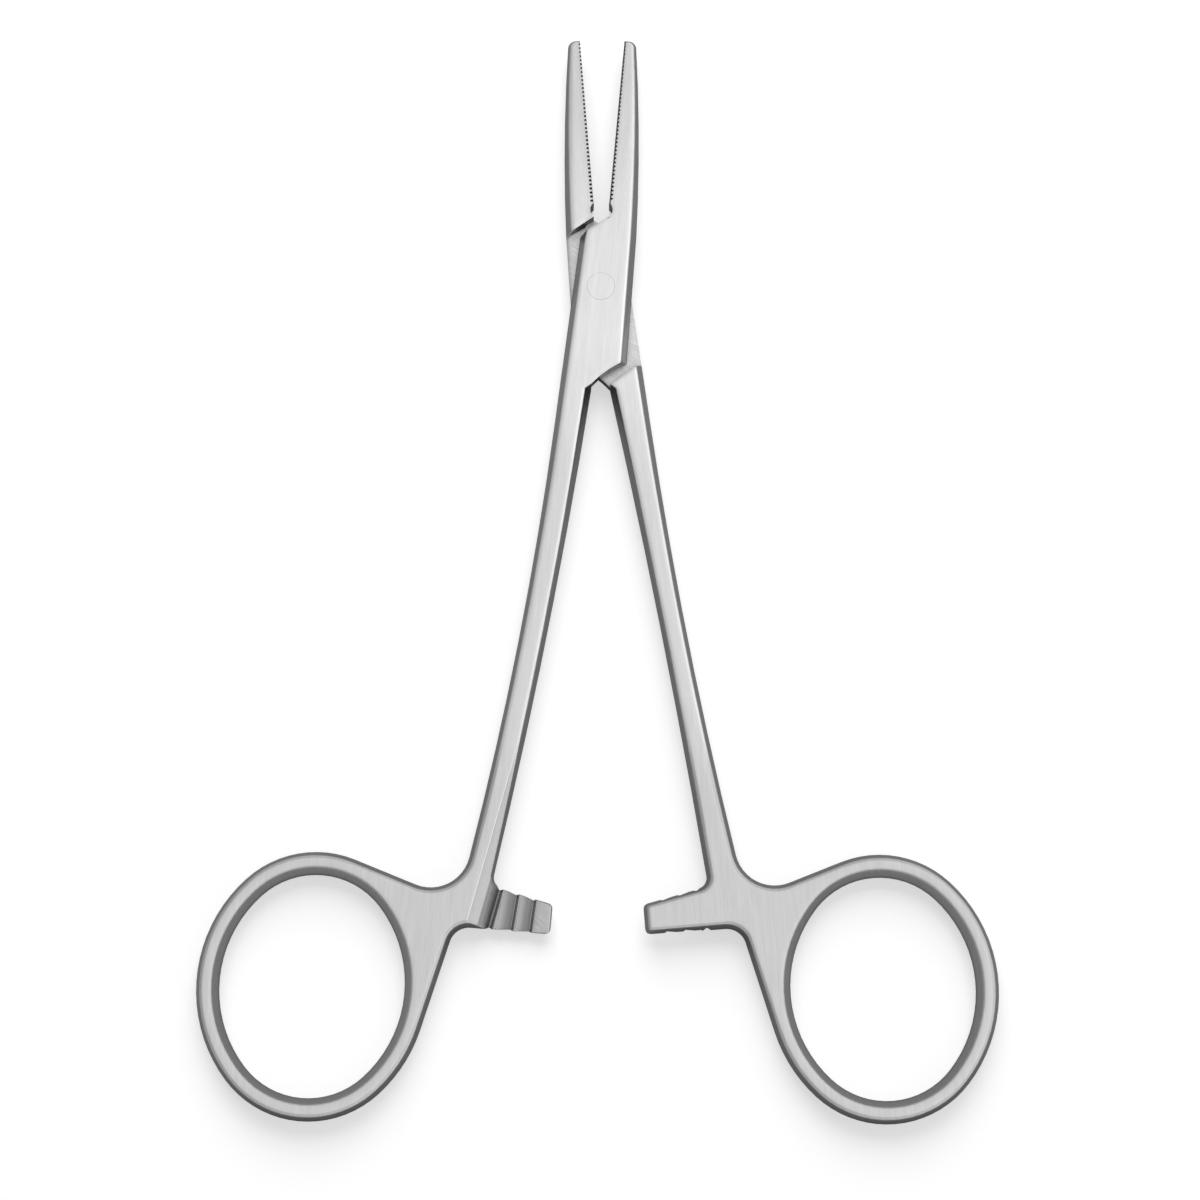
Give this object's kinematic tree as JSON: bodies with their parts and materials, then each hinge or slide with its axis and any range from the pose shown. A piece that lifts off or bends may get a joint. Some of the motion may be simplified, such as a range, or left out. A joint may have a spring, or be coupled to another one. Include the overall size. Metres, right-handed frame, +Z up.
{
  "type": "artery forceps",
  "caption": "Straight artery forceps, open: two half-lapped limbs on a rivet, serrated jaws, ratchet arms and finger rings.",
  "frame": {"origin": "middle of the box round the open forceps, on the plane that they lie on", "axes": "+Y from the finger rings towards the jaw tips, +X to the right seen from above, +Z up out of the lying forceps"},
  "size_m": [0.089, 0.123, 0.0041],
  "materials": {
    "limb_steel": "satin brushed stainless steel with duller ground bevels",
    "rivet_steel": "stainless steel peened and ground flush"
  },
  "bodies": {
    "rear": {"rear_limb": "limb_steel", "pivot_rivet": "rivet_steel"},
    "front": {"front_limb": "limb_steel"}
  },
  "joints": [
    {"name": "jaw_pivot", "type": "hinge", "parent": "rear", "child": "front", "pos_m": [0, 0.03239, 0.00205], "axis": [0, 0, 1], "range_deg": [-40, 9.96]}
  ]
}
